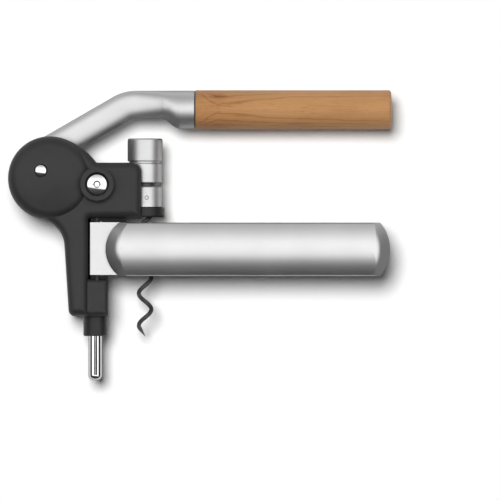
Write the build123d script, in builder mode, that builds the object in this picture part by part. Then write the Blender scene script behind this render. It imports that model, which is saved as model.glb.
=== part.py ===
from build123d import *
import os
from math import acos, asin, cos, pi, radians, sin, tan

os.makedirs("parts", exist_ok=True)

# Lever corkscrew, lying on its side: X along the handles, Y up the worm, Z up from the table.
# Sizes are in millimetres. Heights z are measured from the middle plane, which halves the tool.

# Overall depth and fits
HALF_DEPTH = 20.0
MID = HALF_DEPTH
RUN_FIT = 0.05
SEAT_FIT = 0.02

# Frame: round head, block beside the worm drums, column and foot
HEAD = (-75.05, 28.45)
HEAD_R = 20.95
HEAD_DOME = 18.0
HEAD_ROLL_R = 6.0
SHOULDER_ANGLE = radians(70)
SHOULDER_END_X = -51.9
BLOCK_RIGHT = -29.4
BLOCK_TOP = 36.25
BLOCK_BOTTOM = 8.4
BLOCK_CORNER_R = 5.2
COLUMN_RIGHT = -55.8
COLUMN_FOOT_LEFT = -65.55
COLUMN_HEAD_LEFT = -69.45
COLUMN_HEAD_Y = 20.0
NECK_R = 14.0
FOOT_RIGHT = -46.0
FOOT_TOP = -21.9
FOOT_BOTTOM = -40.4
FOOT_CORNER_R = 3.0
FOOT_HALF = 12.5
FOOT_EDGE_R = 2.5
INNER_CORNER_R = 1.0
BODY_HALF = 14.5
EDGE_R = 4.0

# Lever pivot, and the studs of the backing rollers
PIVOT = (-79.5, 32.2)
PIVOT_R = 3.25
PIVOT_HALF = 17.9
PIVOT_DOME = 1.8
STUD = (-51.5, 25.4)
STUD_R = 2.5
STUD_HEAD_R = 6.0
STUD_TOP = 19.9
STUD_DOME = 3.0
STUD_RIM = 0.5
STUD_TIP = 4.4
DIMPLE_R = 1.8
DIMPLE_FLOOR_R = 1.1
DIMPLE_DEPTH = 0.6
BOSS_R = 8.75
BOSS_RIM_R = 0.8
ROLLER_R = 6.5
ROLLER_INNER = 4.6
ROLLER_OUTER = 7.8

# Toothed sector and rack
MODULE = 1.0
TEETH = 31
PRESSURE = radians(20)
BACKLASH = 0.2
DEDENDUM = 1.25 * MODULE
PITCH_R = MODULE * TEETH / 2
TIP_R = PITCH_R + MODULE
ROOT_R = PITCH_R - DEDENDUM
BASE_R = PITCH_R * cos(PRESSURE)
TOOTH_STEP = 360 / TEETH
TOOTH_THICK = pi * MODULE / 2 - BACKLASH
SECTOR_TEETH = range(-15, 2)
SECTOR_START = SECTOR_TEETH[0] * TOOTH_STEP
SECTOR_END = (SECTOR_TEETH[-1] + 1) * TOOTH_STEP
SECTOR_INSET = 0.1 * TOOTH_STEP
SECTOR_ROOM = 0.2 * TOOTH_STEP
TOOTH_ROOTING = 0.5
SECTOR_INNER = 8.0
SECTOR_HALF = 4.0
RACK_PITCH = pi * MODULE
RACK_X = PIVOT[0] + PITCH_R
RACK_TIP_X = RACK_X - MODULE
RACK_ROOT_X = RACK_X + DEDENDUM
ROLLER_GAP = 0.3
RACK_TEETH = 16
RACK_BACK = STUD[0] - ROLLER_R - ROLLER_GAP
RACK_BOTTOM = -16.5
RACK_TOP = 36.1
RACK_HALF = 8.0

# Lever: arm at 30 degrees, bent level, flared to a ferrule that carries the oak grip
LEVER_SWING = 160
ARM_ANGLE = 30
ARM_OFFSET = 6.94
ARM_HALF_WIDE = 7.1
ARM_HALF_DEEP = 4.6
ARM_LEVEL_Y = 65.15
ARM_BEND_R = 16.0
FLARE_START = -19.15
FLARE_END = -10.15
FLARE_SECTIONS = 5
FERRULE_END = -2.95
FERRULE_R = 9.55
FERRULE_EDGE_R = 0.4
HUB_R = 14.0
HUB_HALF = 6.5
BUSH_R = 4.25
BUSH_FLANGE_R = 6.0
BUSH_FLANGE = 0.4
BUSH_GAP = 0.1
RIVET_R = 1.5
RIVET_RING = 11.0
RIVET_ANGLES = (-20, -80, -140)
GRIP_Y = 62.75
GRIP_R = 9.75
GRIP_START = -2.45
GRIP_END = 96.0
GRIP_DOME = 0.7
GRIP_EDGE_R = 1.4
GRIP_COLLAR_EDGE_R = 0.3
SPACER_STEP = 0.2
TANG_R = 4.0
TANG_START = -14.0
TANG_END = 60.0
TANG_CHAMFER = 0.8
TANG_HOLE_SPARE = 1.0

# Carriage: arm, guide rod, drum and cap
WORM_X = -27.6
ROD_X = -52.45
ROD_R = 3.5
ROD_END = -72.5
ROD_END_R = 2.6
ROD_STUD_R = 2.2
BUSH_SLEEVE_R = 5.0
BUSH_SLEEVE_TOP = -25.0
BUSH_COLLAR_R = 6.0
BUSH_COLLAR_END = -50.4
BUSH_CHAMFER = 0.5
ARM_BOTTOM = 26.1
ARM_TOP = 36.1
ARM_THICK = 3.6
ARM_TONGUE_X = -33.0
DRUM_R = 8.75
DRUM_EDGE = 0.5
CAP_NECK_R = 7.9
CAP_NECK_TOP = 36.85
CAP_TOP = 48.35
CAP_CAVITY_R = 6.3
CAP_CAVITY_TOP = 44.5
CAP_EDGE_R = 1.0

# Worm, its head and thrust washer, and the nut that turns it
WORM_PITCH = 16.0
WORM_R = 3.1
WIRE_R = 1.075
WIRE_FRONT_Y = -25.15
WIRE_LOW = -46.6
WIRE_TOP = 26.0
TIP_LENGTH = 6.2
TIP_POINT_R = 0.12
COLLAR_R = 4.25
COLLAR_BOTTOM = 25.2
COLLAR_TOP = 37.0
COLLAR_FLANGE_R = 5.6
COLLAR_FLANGE_LOW = 24.6
COLLAR_FLANGE_HIGH = 25.85
WORM_NECK_R = 3.0
WORM_HEAD_R = 5.6
WORM_HEAD_TOP = 39.6
WASHER_R = 6.0
WASHER_TOP = 36.9
WASHER_GAP = 0.2
NUT_BOTTOM = 13.7
NUT_TOP = 24.35
NUT_R = 6.2
NUT_BORE_R = 4.6
FOLLOWER_R = 1.0
FOLLOWER_REACH = 2.3
FOLLOWER_OFFSET = 3.2
TENON_LEFT = -42.0
TENON_RIGHT = -34.2
TENON_LOW = 15.4
TENON_HIGH = 22.6
TENON_HALF = 4.0
SET_SCREW = (-26.75, 18.75)
SET_SCREW_R = 1.0
SET_SCREW_TOP = 8.4
SET_SCREW_CHAMFER = 0.3
SET_SCREW_SOCKET_R = 0.5
SET_SCREW_SOCKET_DEPTH = 0.9
FLANGE_R = 9.85
FLANGE_BOTTOM = 9.1
FLANGE_BORE_R = 5.2
FLANGE_EDGE_R = 0.8

# Clamp handles: half shells round the bottle neck
HANDLE_TOP = 6.3
HANDLE_BOTTOM = -20.4
HANDLE_LEFT = -47.25
HANDLE_LEFT_CORNER = -40.4
HANDLE_RIGHT = 94.75
HANDLE_RIGHT_CORNER = 89.85
HANDLE_GAP = 0.3
HANDLE_SHOULDER = 16.6
HANDLE_EDGE_R = 1.5
BEVEL_DROP = 5.2
BEVEL_TILT = radians(40)
BEVEL_BLEND_R = 7.8
HANDLE_WALL = 2.6
HOLLOW_EDGE_R = 1.0
HOLLOW_LEFT = -8.5
HOLLOW_RIGHT = 86.0
JAW_R = 15.2
PAD_R = 14.0
PAD_LOW = -18.4
PAD_HIGH = 4.3
PAD_GAP = 1.6
HINGE_X = -51.55
HINGE_Z = 10.2
HINGE_PIN_R = 1.5
HINGE_PIN_LOW = -28.0
HINGE_PIN_HIGH = 14.0
KNUCKLE_R = 3.75
LUG_FRONT = 12.45
LUG_BACK = 8.5
LUG_EDGE_R = 0.7
LUG_TOP = 6.4
LUG_BOTTOM = -19.8
LUG_RIGHT = -40.0
HINGE_WASHER = 1.6
HINGE_WASHER_LEFT = -54.7
HINGE_WASHER_TOP_RIGHT = -37.2
HINGE_WASHER_FOOT_RIGHT = -46.4
HINGE_WASHER_BACK = 4.3
HINGE_WASHER_FRONT = 11.7

# Spaces in the frame, with room for what moves there
LEVER_SLOT_HALF = 5.2
LEVER_SLOT_GAP = 0.5
HUB_SPACE_R = 17.0
HUB_SPACE_HALF = 7.3
SLOT_GAP = 0.4
SLOT_TOP = 60.0
RACK_SLOT_SPARE = 1.0
ROD_SPACE_R = 3.9
DRUM_SPACE_R = 9.2
FLANGE_SPACE_R = 10.3
FLANGE_SPACE_TOP = 13.9

# Screws that join the frame halves from behind
SCREWS = [(-61.0, -33.0), (-71.5, 9.5), (-44.5, 13.0)]
SCREW_R = 1.5
SCREW_END = 9.0
SCREW_HEAD_R = 2.75
SCREW_HEAD_TOP = -11.5
SCREW_HEAD_FACE = -14.0
SCREW_SOCKET_R = 1.4
SCREW_SOCKET_DEPTH = 1.4

STANDING = (Align.CENTER, Align.CENTER, Align.MIN)


def at(z):
    """A sketch plane parallel to the table."""
    return Plane.XY.offset(MID + z)


def along_x(x, y, z=0.0):
    """A plane whose normal runs along the handles. Local x is Y and local y is Z."""
    return Plane(origin=(x, y, MID + z), x_dir=(0, 1, 0), z_dir=(1, 0, 0))


def along_y(x, y, z=0.0):
    """A plane whose normal runs up the worm. Local x is X and local y is -Z."""
    return Plane(origin=(x, y, MID + z), x_dir=(1, 0, 0), z_dir=(0, 1, 0))


def along_z(point, z=0.0):
    """A plane parallel to the table, with its origin at a point of the side view."""
    return Plane(origin=(point[0], point[1], MID + z))


def from_pivot(radius, degrees_up):
    """A point of the side view, given by polar coordinates about the lever's pivot."""
    angle = radians(degrees_up)
    return (PIVOT[0] + radius * cos(angle), PIVOT[1] + radius * sin(angle))


def dome_point(radius, rim_radius, rise, top):
    """A point (radius, height) of a shallow spherical dome that falls by its rise at its rim."""
    sphere_r = (rim_radius**2 + rise**2) / (2 * rise)
    return (radius, top - sphere_r + (sphere_r**2 - radius**2) ** 0.5)


def upright_section(point):
    """A plane through an upright axis. Local x is the radius and local y is the height."""
    return Plane(origin=(point[0], point[1], MID), x_dir=(1, 0, 0), z_dir=(0, -1, 0))


def side_rectangle(left, right, low, high):
    """A rectangle of the side view, given by its edges."""
    Polygon((left, low), (right, low), (right, high), (left, high))


# Outline of the frame in the side view. The shoulder leaves the head's circle as a tangent arc.
shoulder_top = (HEAD[0] + HEAD_R * cos(SHOULDER_ANGLE), HEAD[1] + HEAD_R * sin(SHOULDER_ANGLE))
shoulder_end = (SHOULDER_END_X, BLOCK_TOP)
with BuildSketch(at(0)) as frame_outline:
    with Locations(HEAD):
        Circle(HEAD_R)
    with BuildLine():
        TangentArc(shoulder_top, shoulder_end, tangent=(sin(SHOULDER_ANGLE), -cos(SHOULDER_ANGLE)))
        Polyline(shoulder_end, HEAD, shoulder_top)
    make_face()
    Polygon(
        (COLUMN_RIGHT, COLUMN_HEAD_Y),
        (COLUMN_HEAD_LEFT, COLUMN_HEAD_Y),
        (COLUMN_FOOT_LEFT, FOOT_BOTTOM),
        (COLUMN_RIGHT, FOOT_BOTTOM),
    )
    side_rectangle(COLUMN_RIGHT - INNER_CORNER_R, BLOCK_RIGHT, BLOCK_BOTTOM, BLOCK_TOP)
    head_meets_column = (COLUMN_HEAD_LEFT, HEAD[1] - HEAD_R, 0)
    fillet(frame_outline.vertices().sort_by_distance(head_meets_column)[0], radius=NECK_R)
    block_corner = (BLOCK_RIGHT, BLOCK_TOP, 0)
    fillet(frame_outline.vertices().sort_by_distance(block_corner)[0], radius=BLOCK_CORNER_R)
    foot_corner = (COLUMN_FOOT_LEFT, FOOT_BOTTOM, 0)
    fillet(frame_outline.vertices().sort_by_distance(foot_corner)[0], radius=FOOT_CORNER_R)
    for corner in (shoulder_end, (COLUMN_RIGHT, BLOCK_BOTTOM)):
        fillet(frame_outline.vertices().sort_by_distance((*corner, 0))[0], radius=INNER_CORNER_R)
with BuildSketch(at(0)) as foot_outline:
    side_rectangle(COLUMN_RIGHT - EDGE_R, FOOT_RIGHT, FOOT_BOTTOM, FOOT_TOP)

# Section of the head: a shallow spherical dome, tangent to an arc that rolls over at the rim
rim_z = BODY_HALF - EDGE_R
roll_x = HEAD_R - HEAD_ROLL_R
crown_drop = HEAD_DOME - rim_z
crown_r = (roll_x**2 + crown_drop**2 - HEAD_ROLL_R**2) / (2 * (crown_drop - HEAD_ROLL_R))
crown_turn = asin(roll_x / (crown_r - HEAD_ROLL_R))


def crown_point(turn):
    """A point (radius, height) of the head's spherical dome, at an angle from its top."""
    return (crown_r * sin(turn), HEAD_DOME - crown_r * (1 - cos(turn)))


roll_turn = (pi / 2 + crown_turn) / 2
roll_mid = (roll_x + HEAD_ROLL_R * sin(roll_turn), rim_z + HEAD_ROLL_R * cos(roll_turn))
with BuildSketch(upright_section(HEAD)) as head_section:
    with BuildLine():
        ThreePointArc(crown_point(0), crown_point(crown_turn / 2), crown_point(crown_turn))
        ThreePointArc(crown_point(crown_turn), roll_mid, (HEAD_R, rim_z))
        Polyline((HEAD_R, rim_z), (HEAD_R, 0), (0, 0), crown_point(0))
    make_face()

# Room in the head for the lever's arm, from its rest to the end of its swing
swing_end = ARM_ANGLE + LEVER_SWING
slot_far = 3 * HEAD_R
slot_low = from_pivot(ARM_HALF_WIDE - ARM_OFFSET + LEVER_SLOT_GAP, ARM_ANGLE - 90)
slot_high = from_pivot(ARM_HALF_WIDE + ARM_OFFSET + LEVER_SLOT_GAP, swing_end + 90)
slot_far_left = from_pivot(slot_far, swing_end)


def far_along(point, degrees_up):
    """A point well outside the head, in a direction of the side view."""
    angle = radians(degrees_up)
    return (point[0] + slot_far * cos(angle), point[1] + slot_far * sin(angle))


with BuildSketch(at(0)) as lever_slot:
    Polygon(
        slot_low,
        far_along(slot_low, ARM_ANGLE),
        (slot_far_left[0], PIVOT[1] + slot_far),
        slot_far_left,
        far_along(slot_high, swing_end),
        slot_high,
    )

# The stud's head sits in the boss, with its rim under the boss's face
stud_rim_z = STUD_TOP - STUD_DOME
stud_seat = stud_rim_z - STUD_RIM

# Room for the rack, which rises out of the top of the head, and for the carriage arm
with BuildSketch(at(0)) as rack_slot:
    side_rectangle(RACK_TIP_X - SLOT_GAP, RACK_BACK + SLOT_GAP, RACK_BOTTOM - RACK_SLOT_SPARE, SLOT_TOP)
with BuildSketch(at(0)) as arm_slot:
    side_rectangle(RACK_BACK, WORM_X, ARM_BOTTOM - SLOT_GAP, SLOT_TOP)
with BuildSketch(at(0)) as tenon_slot:
    side_rectangle(TENON_LEFT, WORM_X, TENON_LOW, TENON_HIGH)

# The foot beside the column: a flat plate, lower than the column, that carries the guide bush
with BuildPart() as foot_plate:
    extrude(foot_outline.sketch, amount=FOOT_HALF)
    foot_face = foot_plate.faces().sort_by(Axis.Z)[-1]
    fillet(foot_face.edges().sort_by(Axis.X)[1:], radius=FOOT_EDGE_R)

# One half of the frame, above the middle plane
with BuildPart() as frame_half:
    extrude(frame_outline.sketch, amount=BODY_HALF)
    fillet(frame_half.faces().sort_by(Axis.Z)[-1].edges(), radius=EDGE_R)
    revolve(head_section.sketch, axis=Axis((HEAD[0], HEAD[1], 0), (0, 0, 1)))
    with Locations(along_z(STUD, ROLLER_OUTER)):
        Cylinder(BOSS_R, HALF_DEPTH - ROLLER_OUTER, align=STANDING)
    fillet(frame_half.faces().sort_by(Axis.Z)[-1].edges(), radius=BOSS_RIM_R)
    add(foot_plate.part)
    extrude(lever_slot.sketch, amount=LEVER_SLOT_HALF, mode=Mode.SUBTRACT)
    extrude(rack_slot.sketch, amount=RACK_HALF + SLOT_GAP, mode=Mode.SUBTRACT)
    extrude(arm_slot.sketch, amount=ARM_THICK + SLOT_GAP, mode=Mode.SUBTRACT)
    extrude(tenon_slot.sketch, amount=TENON_HALF, mode=Mode.SUBTRACT)
    with Locations(along_z(PIVOT)):
        Cylinder(HUB_SPACE_R, HUB_SPACE_HALF, align=STANDING, mode=Mode.SUBTRACT)
        Cylinder(PIVOT_R + SEAT_FIT, HALF_DEPTH, align=STANDING, mode=Mode.SUBTRACT)
    with Locations(along_z(STUD)):
        Cylinder(STUD_R + SEAT_FIT, HALF_DEPTH, align=STANDING, mode=Mode.SUBTRACT)
        Cylinder(ROLLER_R + SLOT_GAP, ROLLER_OUTER + SLOT_GAP, align=STANDING, mode=Mode.SUBTRACT)
    with Locations(along_z(STUD, stud_seat)):
        Cylinder(STUD_HEAD_R + SEAT_FIT, HALF_DEPTH, align=STANDING, mode=Mode.SUBTRACT)
    with Locations(along_y(ROD_X, FOOT_BOTTOM)):
        Cylinder(ROD_SPACE_R, ARM_BOTTOM - FOOT_BOTTOM, align=STANDING, mode=Mode.SUBTRACT)
        Cylinder(BUSH_SLEEVE_R + SEAT_FIT, BUSH_SLEEVE_TOP - FOOT_BOTTOM, align=STANDING, mode=Mode.SUBTRACT)
    with Locations(along_y(WORM_X, FOOT_TOP)):
        Cylinder(DRUM_SPACE_R, SLOT_TOP - FOOT_TOP, align=STANDING, mode=Mode.SUBTRACT)
        Cylinder(FLANGE_SPACE_R, FLANGE_SPACE_TOP - FOOT_TOP, align=STANDING, mode=Mode.SUBTRACT)
    with Locations(along_y(HINGE_X, HINGE_PIN_LOW, HINGE_Z)):
        Cylinder(HINGE_PIN_R + SEAT_FIT, HINGE_PIN_HIGH - HINGE_PIN_LOW, align=STANDING, mode=Mode.SUBTRACT)

with BuildPart() as frame_front:
    add(frame_half.part)
    for screw in SCREWS:
        with Locations(along_z(screw)):
            Cylinder(SCREW_R + SEAT_FIT, SCREW_END, align=STANDING, mode=Mode.SUBTRACT)
frame_front.part.label = "frame_front"
export_step(frame_front.part, "parts/frame_front.step")

with BuildPart() as frame_rear:
    mirror(frame_half.part, about=at(0))
    for screw in SCREWS:
        with Locations(along_z(screw, -HALF_DEPTH)):
            Cylinder(SCREW_R + SEAT_FIT, HALF_DEPTH, align=STANDING, mode=Mode.SUBTRACT)
            head_room = HALF_DEPTH + SCREW_HEAD_TOP
            Cylinder(SCREW_HEAD_R + SEAT_FIT, head_room, align=STANDING, mode=Mode.SUBTRACT)
frame_rear.part.label = "frame_rear"
export_step(frame_rear.part, "parts/frame_rear.step")

with BuildPart() as frame_screws:
    for screw in SCREWS:
        with Locations(along_z(screw, SCREW_HEAD_FACE)):
            Cylinder(SCREW_R, SCREW_END - SCREW_HEAD_FACE, align=STANDING)
            Cylinder(SCREW_HEAD_R, SCREW_HEAD_TOP - SCREW_HEAD_FACE, align=STANDING)
    with BuildSketch(at(SCREW_HEAD_FACE)):
        with Locations(*SCREWS):
            RegularPolygon(SCREW_SOCKET_R, 6)
    extrude(amount=SCREW_SOCKET_DEPTH, mode=Mode.SUBTRACT)
frame_screws.part.label = "frame_screws"
export_step(frame_screws.part, "parts/frame_screws.step")


# Pivot pin with domed ends
pin_rim = dome_point(PIVOT_R, PIVOT_R, PIVOT_DOME, PIVOT_HALF)
pin_mid = dome_point(PIVOT_R / 2, PIVOT_R, PIVOT_DOME, PIVOT_HALF)
with BuildPart() as pivot_pin:
    with BuildSketch(upright_section(PIVOT)):
        with BuildLine():
            Polyline((0, PIVOT_HALF), (0, 0), (PIVOT_R, 0), pin_rim)
            ThreePointArc(pin_rim, pin_mid, (0, PIVOT_HALF))
        make_face()
    revolve(axis=Axis((PIVOT[0], PIVOT[1], 0), (0, 0, 1)))
    mirror(pivot_pin.part, about=at(0))
pivot_pin.part.label = "pivot_pin"
export_step(pivot_pin.part, "parts/pivot_pin.step")

# Two short studs with broad domed heads, drilled at the centre, one in each boss
dome_edge = dome_point(STUD_HEAD_R, STUD_HEAD_R, STUD_DOME, STUD_TOP)
dome_mid = dome_point((STUD_HEAD_R + DIMPLE_R) / 2, STUD_HEAD_R, STUD_DOME, STUD_TOP)
dimple_edge = dome_point(DIMPLE_R, STUD_HEAD_R, STUD_DOME, STUD_TOP)
dimple_floor = dimple_edge[1] - DIMPLE_DEPTH
with BuildPart() as roller_studs:
    with BuildSketch(upright_section(STUD)):
        with BuildLine():
            Polyline((DIMPLE_FLOOR_R, dimple_floor), (0, dimple_floor), (0, STUD_TIP), (STUD_R, STUD_TIP))
            Polyline((STUD_R, STUD_TIP), (STUD_R, stud_seat), (STUD_HEAD_R, stud_seat), dome_edge)
            ThreePointArc(dome_edge, dome_mid, dimple_edge)
            Line(dimple_edge, (DIMPLE_FLOOR_R, dimple_floor))
        make_face()
    revolve(axis=Axis((STUD[0], STUD[1], 0), (0, 0, 1)))
    mirror(roller_studs.part, about=at(0))
roller_studs.part.label = "roller_studs"
export_step(roller_studs.part, "parts/roller_studs.step")

with BuildPart() as backing_rollers:
    with Locations(along_z(STUD, ROLLER_INNER)):
        Cylinder(ROLLER_R, ROLLER_OUTER - ROLLER_INNER, align=STANDING)
        Cylinder(STUD_R + RUN_FIT, ROLLER_OUTER - ROLLER_INNER, align=STANDING, mode=Mode.SUBTRACT)
    mirror(backing_rollers.part, about=at(0))
backing_rollers.part.label = "backing_rollers"
export_step(backing_rollers.part, "parts/backing_rollers.step")

# Lever arm with its hub, bend, flare and ferrule
arm_start = from_pivot(ARM_OFFSET, ARM_ANGLE + 90)
bend_x = arm_start[0] + (ARM_LEVEL_Y - arm_start[1]) / tan(radians(ARM_ANGLE))
arm_heading = (cos(radians(ARM_ANGLE)), sin(radians(ARM_ANGLE)), 0)


def ring_part(inner_r, outer_r, low, high):
    """A face of the side view: part of a ring about the lever's pivot, between two angles."""
    with BuildLine() as ring:
        CenterArc(PIVOT, outer_r, low, high - low)
        Line(from_pivot(outer_r, high), from_pivot(inner_r, high))
        CenterArc(PIVOT, inner_r, low, high - low)
        Line(from_pivot(inner_r, low), from_pivot(outer_r, low))
    make_face(ring.edges())


with BuildSketch(at(0)) as sector_room:
    ring_part(SECTOR_INNER, HUB_SPACE_R, SECTOR_START - SECTOR_ROOM, SECTOR_END + SECTOR_ROOM)

with BuildPart() as lever_arm:
    with BuildLine() as arm_path:
        FilletPolyline(
            (arm_start[0], arm_start[1], MID),
            (bend_x, ARM_LEVEL_Y, MID),
            (FLARE_START, ARM_LEVEL_Y, MID),
            radius=ARM_BEND_R,
        )
    with BuildSketch(Plane(origin=arm_path.line @ 0, x_dir=(0, 0, 1), z_dir=arm_heading)):
        Ellipse(ARM_HALF_DEEP, ARM_HALF_WIDE)
    sweep(path=arm_path.line)
    for section in range(FLARE_SECTIONS):
        share = section / (FLARE_SECTIONS - 1)
        ease = share**2 * (3 - 2 * share)
        flare_x = FLARE_START + share * (FLARE_END - FLARE_START)
        flare_y = ARM_LEVEL_Y + ease * (GRIP_Y - ARM_LEVEL_Y)
        flare_wide = ARM_HALF_WIDE + ease * (FERRULE_R - ARM_HALF_WIDE)
        flare_deep = ARM_HALF_DEEP + ease * (FERRULE_R - ARM_HALF_DEEP)
        with BuildSketch(along_x(flare_x, flare_y)):
            Ellipse(flare_wide, flare_deep)
    loft()
    with Locations(along_x(FLARE_END, GRIP_Y)):
        Cylinder(FERRULE_R, FERRULE_END - FLARE_END, align=STANDING)
    fillet(lever_arm.faces().sort_by(Axis.X)[-1].edges(), radius=FERRULE_EDGE_R)
    with Locations(along_z(PIVOT, -HUB_HALF)):
        Cylinder(HUB_R, 2 * HUB_HALF, align=STANDING)
        Cylinder(BUSH_R + SEAT_FIT, 2 * HUB_HALF, align=STANDING, mode=Mode.SUBTRACT)
    extrude(sector_room.sketch, amount=SECTOR_HALF, both=True, mode=Mode.SUBTRACT)
    for angle in RIVET_ANGLES:
        with Locations(along_z(from_pivot(RIVET_RING, angle), -HUB_HALF)):
            Cylinder(RIVET_R + SEAT_FIT, 2 * HUB_HALF, align=STANDING, mode=Mode.SUBTRACT)
    with Locations(along_x(TANG_START, GRIP_Y)):
        Cylinder(TANG_R + SEAT_FIT, FERRULE_END - TANG_START, align=STANDING, mode=Mode.SUBTRACT)
lever_arm.part.label = "lever_arm"
export_step(lever_arm.part, "parts/lever_arm.step")


def flank(radius):
    """Half the angle that a sector tooth fills at a radius, in radians, from the involute."""
    slope = acos(BASE_R / radius)
    pitch_involute = tan(PRESSURE) - PRESSURE
    return TOOTH_THICK / (2 * PITCH_R) + pitch_involute - (tan(slope) - slope)


def tooth_point(radius, turn):
    """A point of the tooth that points along local x."""
    return (radius * cos(turn), radius * sin(turn))


# One involute tooth, rooted a little inside the sector's rim
tooth_root_r = ROOT_R - TOOTH_ROOTING
with BuildSketch() as sector_tooth:
    with BuildLine():
        for turn in (1, -1):
            low = tooth_point(BASE_R, turn * flank(BASE_R))
            middle = tooth_point(PITCH_R, turn * flank(PITCH_R))
            high = tooth_point(TIP_R, turn * flank(TIP_R))
            Line(tooth_point(tooth_root_r, turn * flank(BASE_R)), low)
            ThreePointArc(low, middle, high)
        Line(tooth_point(TIP_R, flank(TIP_R)), tooth_point(TIP_R, -flank(TIP_R)))
        Line(tooth_point(tooth_root_r, flank(BASE_R)), tooth_point(tooth_root_r, -flank(BASE_R)))
    make_face()

# Toothed sector, let into the hub and riveted
with BuildSketch(at(-SECTOR_HALF)) as sector_face:
    ring_part(SECTOR_INNER + SEAT_FIT, ROOT_R, SECTOR_START + SECTOR_INSET, SECTOR_END - SECTOR_INSET)
    for tooth in SECTOR_TEETH:
        tooth_turn = (tooth + 0.5) * TOOTH_STEP
        with Locations(Location((PIVOT[0], PIVOT[1], 0), (0, 0, tooth_turn))):
            add(sector_tooth.sketch)
    with Locations(*[from_pivot(RIVET_RING, angle) for angle in RIVET_ANGLES]):
        Circle(RIVET_R + SEAT_FIT, mode=Mode.SUBTRACT)
with BuildPart() as gear_sector:
    extrude(sector_face.sketch, amount=2 * SECTOR_HALF)
gear_sector.part.label = "gear_sector"
export_step(gear_sector.part, "parts/gear_sector.step")

with BuildPart() as sector_rivets:
    for angle in RIVET_ANGLES:
        with Locations(along_z(from_pivot(RIVET_RING, angle), -HUB_HALF)):
            Cylinder(RIVET_R, 2 * HUB_HALF, align=STANDING)
sector_rivets.part.label = "sector_rivets"
export_step(sector_rivets.part, "parts/sector_rivets.step")

with BuildPart() as pivot_bushes:
    with Locations(along_z(PIVOT, BUSH_GAP)):
        Cylinder(BUSH_R, HUB_HALF, align=STANDING)
    with Locations(along_z(PIVOT, HUB_HALF)):
        Cylinder(BUSH_FLANGE_R, BUSH_FLANGE, align=STANDING)
    with Locations(along_z(PIVOT)):
        Cylinder(PIVOT_R + RUN_FIT, HALF_DEPTH, align=STANDING, mode=Mode.SUBTRACT)
    mirror(pivot_bushes.part, about=at(0))
pivot_bushes.part.label = "pivot_bushes"
export_step(pivot_bushes.part, "parts/pivot_bushes.step")

with BuildPart() as grip_tang:
    with Locations(along_x(TANG_START, GRIP_Y)):
        Cylinder(TANG_R, TANG_END - TANG_START, align=STANDING)
    chamfer(grip_tang.faces().sort_by(Axis.X)[-1].edges(), length=TANG_CHAMFER)
grip_tang.part.label = "grip_tang"
export_step(grip_tang.part, "parts/grip_tang.step")

with BuildPart() as grip_spacer:
    with Locations(along_x(FERRULE_END, GRIP_Y)):
        Cylinder(FERRULE_R - SPACER_STEP, GRIP_START - FERRULE_END, align=STANDING)
        Cylinder(TANG_R + SEAT_FIT, GRIP_START - FERRULE_END, align=STANDING, mode=Mode.SUBTRACT)
grip_spacer.part.label = "grip_spacer"
export_step(grip_spacer.part, "parts/grip_spacer.step")

# Oak grip, turned, with a faintly domed end
with BuildSketch(Plane.XY.offset(MID)) as grip_section:
    with BuildLine():
        Polyline(
            (GRIP_END, GRIP_Y),
            (GRIP_START, GRIP_Y),
            (GRIP_START, GRIP_Y + GRIP_R),
            (GRIP_END - GRIP_DOME, GRIP_Y + GRIP_R),
        )
        Spline(
            (GRIP_END - GRIP_DOME, GRIP_Y + GRIP_R),
            (GRIP_END, GRIP_Y),
            tangents=[(GRIP_DOME, -GRIP_R), (0, -1)],
        )
    make_face()
    grip_corners = grip_section.vertices().group_by(Axis.Y)[-1].sort_by(Axis.X)
    fillet(grip_corners[-1], radius=GRIP_EDGE_R)
    collar_corner = grip_section.vertices().sort_by_distance((GRIP_START, GRIP_Y + GRIP_R, 0))[0]
    fillet(collar_corner, radius=GRIP_COLLAR_EDGE_R)
with BuildPart() as wood_grip:
    revolve(grip_section.sketch, axis=Axis((0, GRIP_Y, MID), (1, 0, 0)))
    with Locations(along_x(GRIP_START, GRIP_Y)):
        tang_hole = TANG_END - GRIP_START + TANG_HOLE_SPARE
        Cylinder(TANG_R + SEAT_FIT, tang_hole, align=STANDING, mode=Mode.SUBTRACT)
wood_grip.part.label = "wood_grip"
export_step(wood_grip.part, "parts/wood_grip.step")

# Rack: teeth face the pivot, and the flat back runs on the rollers
rack_points = [(RACK_BACK, RACK_BOTTOM), (RACK_BACK, RACK_TOP), (RACK_ROOT_X, RACK_TOP)]
tip_half = TOOTH_THICK / 2 - MODULE * tan(PRESSURE)
root_half = TOOTH_THICK / 2 + DEDENDUM * tan(PRESSURE)
for tooth in range(RACK_TEETH):
    middle_y = PIVOT[1] - tooth * RACK_PITCH
    rack_points.append((RACK_ROOT_X, middle_y + root_half))
    rack_points.append((RACK_TIP_X, middle_y + tip_half))
    rack_points.append((RACK_TIP_X, middle_y - tip_half))
    rack_points.append((RACK_ROOT_X, middle_y - root_half))
rack_points.append((RACK_ROOT_X, RACK_BOTTOM))
with BuildPart() as rack_bar:
    with BuildSketch(at(-RACK_HALF)):
        Polygon(*rack_points)
    extrude(amount=2 * RACK_HALF)
rack_bar.part.label = "rack_bar"
export_step(rack_bar.part, "parts/rack_bar.step")

with BuildPart() as carriage_arm:
    with BuildSketch(at(-ARM_THICK)):
        side_rectangle(RACK_BACK, ARM_TONGUE_X, ARM_BOTTOM, ARM_TOP)
    extrude(amount=2 * ARM_THICK)
    with Locations(along_y(ROD_X, ARM_BOTTOM)):
        Cylinder(ROD_STUD_R + SEAT_FIT, ARM_TOP - ARM_BOTTOM, align=STANDING, mode=Mode.SUBTRACT)
carriage_arm.part.label = "carriage_arm"
export_step(carriage_arm.part, "parts/carriage_arm.step")

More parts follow.
